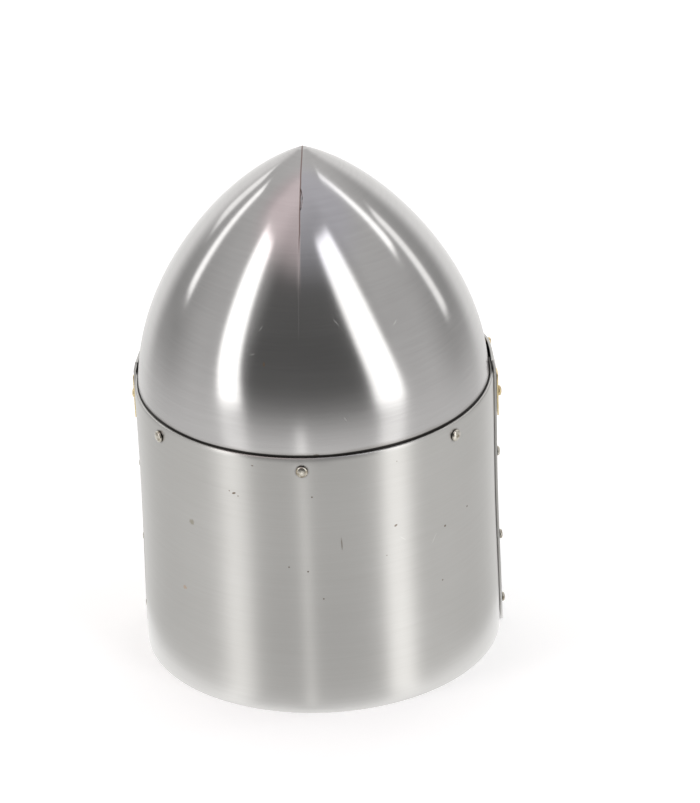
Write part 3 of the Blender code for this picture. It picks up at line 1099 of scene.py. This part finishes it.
CROWN_SCRATCHES = [
    (15.5, 258.5, 2.2, 0.3, 60.0, 0.6),
    (17.5, 243.5, 1.6, 0.3, 20.0, 0.6),
    (-15.5, 261.5, 3.0, 0.3, -50.0, 0.6),
    (-40.2, 254.0, 2.5, 0.3, 35.0, 0.6),
    (-14.8, 204.0, 2.0, 0.3, -60.0, 0.6),
]
GRIME_MARKS = [(-4.8, 181.0, 2.6, 1.3, 0.0, 0.9)]
WARM_MARKS = [(12.8, 238.5, 0.8, 1.6, 0.0, 0.5)]


def weld_wander(finish):
    """The weld doesn't run quite straight."""
    return finish.noise((0.0, 0.0, 90.0), detail=2.0, shift=1.7)


def crown_steel():
    finish = new_finish("crown_steel_outside")
    colour, hairs, streaks, clouds = brushed_steel(finish, CROWN_COLOUR, CROWN_PALE)
    scratches = marks(finish, CROWN_SCRATCHES, crown_place, 0.15)
    warm = marks(finish, WARM_MARKS, crown_place)
    blot = marks(finish, GRIME_MARKS, crown_place, 0.5)
    height = finish.along("Z")
    # Painted shade with grime: a soft dark band on the crown just above the rim, where it goes into the body.
    shade_and_grime_band = finish.step(height + (clouds - 0.5) * 0.006, RIM_HEIGHT + 0.0040, RIM_HEIGHT + 0.0002)
    # Painted shadow: a near-black line on the crown along the gap above the plates' rim.
    gap_shadow_line = finish.step(height + (clouds - 0.5) * 0.001, RIM_HEIGHT + 0.0019, RIM_HEIGHT + 0.0011)
    foot = finish.step(height, 0.250, 0.190)
    across = finish.math("ABSOLUTE", finish.along("X") + (weld_wander(finish) - 0.5) * 0.0012)
    weld = finish.step(across, 0.00062, 0.00018) * finish.step(height, 0.2960, 0.3110)
    trace = finish.step(across, 0.00060, 0.00015) * finish.step(height, 0.3000, 0.2850)
    trace = trace * finish.step(height, 0.2500, 0.2620) * 0.4
    colour = finish.mix(scratches, colour, PALE_SCRATCH)
    colour = finish.mix(warm, colour, WARM_SPOT)
    colour = finish.mix(trace, colour, PALE_SCRATCH)
    colour = finish.mix(weld * 0.75, colour, WELD)
    # Grime blots, and the band of painted shade above the rim.
    colour = finish.mix(finish.math("MAXIMUM", shade_and_grime_band * 0.55, blot), colour, GRIME_AND_SHADE)
    # The near-black line of painted shadow in the gap.
    colour = finish.mix(gap_shadow_line * 0.96, colour, GAP_SHADOW_BLACK)
    roughness = 0.13 + (clouds - 0.5) * 0.05 + foot * 0.09 + shade_and_grime_band * 0.12 + scratches * 0.15 + weld * 0.2
    relief = hairs * 0.5 + streaks * 0.3 - weld
    steady = {"Anisotropic": 0.35, "Anisotropic Rotation": BRUSHED_LEVEL}
    return metal(finish, colour, roughness, relief, 0.000004, **steady)


crown_outside = crown_steel()
print("crown steel:", len(crown_outside.node_tree.nodes), "nodes")

# %% [markdown]
# ## Inside and cut edges
#
# The inside is darker and duller than the outside: grey, with some brown tarnish. The cut edges are
# near black, darker still: painted shade for edges that stand in shadow.

# %% Inside and cut edges


def inside_steel():
    finish = new_finish("steel_inside")
    clouds = finish.noise((30.0, 30.0, 30.0), detail=5.0, roughness=0.6)
    grain = finish.noise((700.0, 700.0, 700.0), detail=2.0)
    tarnish = finish.step(clouds, 0.52, 0.68)
    colour = finish.mix(clouds, (0.16, 0.155, 0.15, 1.0), (0.27, 0.262, 0.25, 1.0))
    colour = finish.mix(tarnish * 0.6, colour, (0.16, 0.10, 0.06, 1.0))
    return metal(finish, colour, 0.5 + clouds * 0.2, grain + clouds, 0.00003)


def cut_edge():
    finish = new_finish("steel_cut_edge_painted_shade")
    # Painted shade: the cut edges are coloured near black, as they look in shadow.
    grain = finish.noise((500.0, 500.0, 1600.0), detail=3.0)
    colour = finish.mix(grain, (0.018, 0.019, 0.024, 1.0), (0.060, 0.060, 0.066, 1.0))
    return metal(finish, colour, 0.42 + grain * 0.2, grain, 0.00004)


steel_inside = inside_steel()
edge_painted_shade = cut_edge()

# %% [markdown]
# ## Rivet steel and brass
#
# The rivet heads were set with a ball hammer, so small facets cover them, and tarnish stays in the
# hollows. The brass is rolled sheet with a satin polish, a little darker where it has aged.

# %% Rivets and brass


def rivet_metal(name, bright, dull):
    finish = new_finish(name)
    facets = finish.add(
        "TexVoronoi",
        {"feature": "SMOOTH_F1"},
        {"Vector": finish.place(), "Scale": 420.0, "Smoothness": 0.8},
        "Distance",
    )
    clouds = finish.noise((260.0, 260.0, 260.0), detail=3.0)
    tarnish = finish.step(clouds + (facets - 0.4) * 0.4, 0.48, 0.72)
    colour = finish.mix(tarnish, bright, dull)
    return metal(finish, colour, 0.20 + tarnish * 0.20, facets, 0.00012)


def sheet_brass():
    finish = new_finish("brass_sheet")
    hairs = finish.noise((60.0, 60.0, 900.0), detail=2.0)
    clouds = finish.noise((22.0, 22.0, 22.0), detail=4.0)
    aged = finish.step(clouds, 0.50, 0.75)
    share = 0.5 + (hairs - 0.5) * 1.2
    colour = finish.mix(share, (0.70, 0.57, 0.33, 1.0), (0.80, 0.67, 0.42, 1.0))
    colour = finish.mix(aged * 0.4, colour, (0.46, 0.34, 0.17, 1.0))
    return metal(finish, colour, 0.26 + (hairs - 0.5) * 0.1 + aged * 0.14, hairs, 0.000008)


rivet_steel = rivet_metal("rivet_steel", (0.60, 0.57, 0.51, 1.0), (0.30, 0.26, 0.20, 1.0))
rivet_brass = rivet_metal("rivet_brass", (0.82, 0.68, 0.42, 1.0), (0.46, 0.34, 0.17, 1.0))
brass_sheet = sheet_brass()

# %% Dress the pieces


def dress(piece, *finishes):
    """Puts one finish in each slot and shades the faces smooth, with the edges sharp."""
    piece.data.materials.clear()
    for finish in finishes:
        piece.data.materials.append(finish)
    rest()
    piece.select_set(True)
    bpy.context.view_layer.objects.active = piece
    bpy.ops.object.shade_smooth_by_angle(angle=math.radians(35.0))
    rest()


dress(crown, crown_outside, steel_inside, edge_painted_shade)
dress(back, plate_outside, steel_inside, edge_painted_shade)
dress(face, plate_outside, steel_inside, edge_painted_shade)
dress(cross, brass_sheet, brass_sheet, edge_painted_shade)
for node, rivet in rivets.items():
    dress(rivet, rivet_brass if rivet_kind(node) == "brass" else rivet_steel)
print("dressed", 4 + len(rivets), "pieces")

# %% [markdown]
# ## Floor and studio light
#
# The helm stands on white paper between two tall softboxes, one at each side of the camera, with a
# darker gap between them and paler surroundings. Metal shows little but what it reflects, so this
# light is drawn into the world by direction: a brightness by elevation for the gap, the sides and
# the back, and a small table of bright panels. The camera sees plain white behind the helm. Close to
# the helm's foot the paper is brightest, and a glowing disc that only reflections see stands for it.

# %% Lay the floor
rest()
bpy.ops.mesh.primitive_circle_add(vertices=96, radius=6.0, fill_type="NGON", location=(0.0, 0.0, 0.0))
floor = bpy.context.object
floor.name = floor.data.name = "paper_floor"
floor.visible_glossy = False


def paper():
    finish = new_finish("white_paper")
    fibres = finish.noise((400.0, 400.0, 400.0), detail=3.0)
    colour = finish.mix(fibres, (0.88, 0.88, 0.88, 1.0), (0.92, 0.92, 0.92, 1.0))
    shader = finish.add(
        "BsdfPrincipled",
        {},
        {
            "Base Color": colour,
            "Roughness": 0.9,
            "Emission Color": (1.0, 1.0, 1.0, 1.0),
            "Emission Strength": 0.35,
        },
    )
    finish.add("OutputMaterial", {}, {"Surface": shader})
    return finish.owner


floor.data.materials.append(paper())

# %% Let the paper glow at the foot
GLOW_SIDE = 0.020
GLOW_FRONT = 0.012

rest()
bpy.ops.mesh.primitive_circle_add(vertices=96, radius=1.0, fill_type="NGON", location=(0.0, 0.0, 0.0))
glow = bpy.context.object
glow.name = glow.data.name = "paper_glow"
glow.scale = (PLATE_HALF_WIDTH + GLOW_SIDE, PLATE_HALF_WIDTH * DEPTH_RATIO + GLOW_FRONT, 1.0)
glow.location.z = -0.0005
bpy.ops.object.transform_apply(location=True, rotation=True, scale=True)
glow.visible_camera = glow.visible_diffuse = glow.visible_shadow = False


def paper_light():
    finish = new_finish("paper_glow")
    light = finish.add("Emission", {}, {"Color": (1.0, 1.0, 1.0, 1.0), "Strength": 1.4})
    finish.add("OutputMaterial", {}, {"Surface": light})
    return finish.owner


glow.data.materials.append(paper_light())
print("glow:", [round(side, 3) for side in glow.dimensions], "m")

# %% Light the room
TO_CAMERA = Vector((-0.0826, 0.9966, 0.0))

# Columns: elevation in degrees, brightness in the gap, near walls, far walls and backdrop.
ROOM = [
    (-90.0, 0.95, 0.90, 0.90, 0.95),
    (-30.0, 0.98, 0.90, 0.90, 0.95),
    (-20.0, 0.72, 0.88, 0.80, 1.00),
    (-10.0, 0.34, 0.80, 0.55, 1.05),
    (0.0, 0.18, 0.74, 0.45, 1.10),
    (20.0, 0.14, 0.68, 0.55, 1.12),
    (42.0, 0.17, 0.70, 0.72, 1.12),
    (55.0, 0.48, 0.72, 0.75, 1.05),
    (75.0, 0.74, 0.76, 0.78, 0.90),
    (90.0, 0.80, 0.80, 0.80, 0.85),
]

# Columns: angle from the camera and its lean with elevation, half width, lowest and highest
# elevation, soft edge, brightness.
PANELS = [
    (60.0, 0.22, 8.5, -9.0, 48.0, 2.5, 2.2),
    (-51.5, 0.20, 10.5, -10.0, 56.0, 2.5, 2.2),
    (56.0, 0.0, 9.0, -60.0, -8.0, 3.0, 0.55),
    (-54.0, 0.0, 9.0, -60.0, -9.0, 3.0, 0.75),
    (116.0, 0.10, 3.0, 8.0, 40.0, 1.5, 1.6),
    (135.0, 0.0, 4.0, 12.0, 32.0, 2.0, 1.0),
    (-106.0, 0.05, 3.0, 24.0, 64.0, 1.5, 1.8),
    (-118.0, 0.10, 3.0, 0.0, 30.0, 1.5, 1.2),
    (9.5, 0.0, 3.0, -40.0, -18.0, 1.5, 0.9),
    (45.0, 0.0, 45.0, 46.0, 85.0, 6.0, 0.22),
]
PINK = (1.10, 0.96, 0.97, 1.0)
LAVENDER = (0.985, 0.98, 1.04, 1.0)
NEUTRAL = (1.005, 1.0, 0.985, 1.0)


def elevation_ramp(finish, elevation, column):
    """Brightness by elevation, from one column of the room's table."""
    stops = [((row[0] + 90.0) / 180.0, (row[column], row[column], row[column], 1.0)) for row in ROOM]
    share = elevation / 180.0 + 0.5
    shade = finish.add("ValToRGB", {"stops": stops}, {"Fac": share})
    return finish.add("RGBToBW", {}, {"Color": shade})


def light_room():
    world = bpy.data.worlds.new("studio")
    bpy.context.scene.world = world
    finish = Finish(world)
    way = finish.add("TexCoord", {}, {}, "Generated")
    split = {axis: finish.add("SeparateXYZ", {}, {0: way}, axis) for axis in "XYZ"}
    degrees = 180.0 / math.pi
    elevation = finish.math("ARCSINE", split["Z"]) * degrees
    side = Vector((0.0, 0.0, 1.0)).cross(TO_CAMERA) * -1.0
    ahead = split["X"] * TO_CAMERA.x + split["Y"] * TO_CAMERA.y
    aside = split["X"] * side.x + split["Y"] * side.y
    turn = finish.math("ARCTAN2", aside, ahead) * degrees
    away = finish.math("ABSOLUTE", turn)

    gap, near, far, backdrop = (elevation_ramp(finish, elevation, column) for column in (1, 2, 3, 4))
    room = gap + (near - gap) * finish.step(away, 42.0, 68.0)
    room = room + (far - room) * finish.step(away, 85.0, 118.0)
    room = room + (backdrop - room) * finish.step(away, 130.0, 150.0)
    for middle, lean, half_width, lowest, highest, edge, brightness in PANELS:
        beside = finish.math("ABSOLUTE", turn - (elevation * lean + middle))
        wide = finish.step(beside, half_width + edge, half_width - edge)
        tall = finish.step(elevation, lowest - edge, lowest + edge) * finish.step(
            elevation, highest + edge, highest - edge
        )
        room = room + wide * tall * brightness
    above = finish.step(elevation, 36.0, 54.0)
    pink = above * finish.step(turn, -4.0, 4.0) * finish.step(turn, 115.0, 85.0)
    lavender = above * finish.step(turn, 4.0, -4.0) * finish.step(turn, -115.0, -85.0)
    tint = finish.mix(lavender, finish.mix(pink, NEUTRAL, PINK), LAVENDER)
    seen = finish.add("LightPath", {}, {}, "Is Camera Ray")
    room_light = finish.add("Background", {}, {"Color": tint, "Strength": room})
    white = finish.add("Background", {}, {"Color": (1.0, 1.0, 1.0, 1.0), "Strength": 1.0})
    finish.add("OutputWorld", {}, {"Surface": finish.add("MixShader", {}, {0: seen, 1: room_light, 2: white})})
    return finish


studio = light_room()
bpy.context.scene.view_settings.view_transform = "Standard"
print("studio:", len(studio.tree.nodes), "nodes")

# %% [markdown]
# ## Put the pieces on the body
#
# Each piece rides on a body, and the packed solid it stands for is hidden. The helm has no moving
# parts, so everything rides on the one body.

# %% Attach the pieces and hide the packed solids
sheets = {"crown": crown, "back_plate": back, "face_plate": face, "brass_cross": cross}

for node, piece in {**sheets, **rivets}.items():
    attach(piece, "root")
    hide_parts(node)

rest()
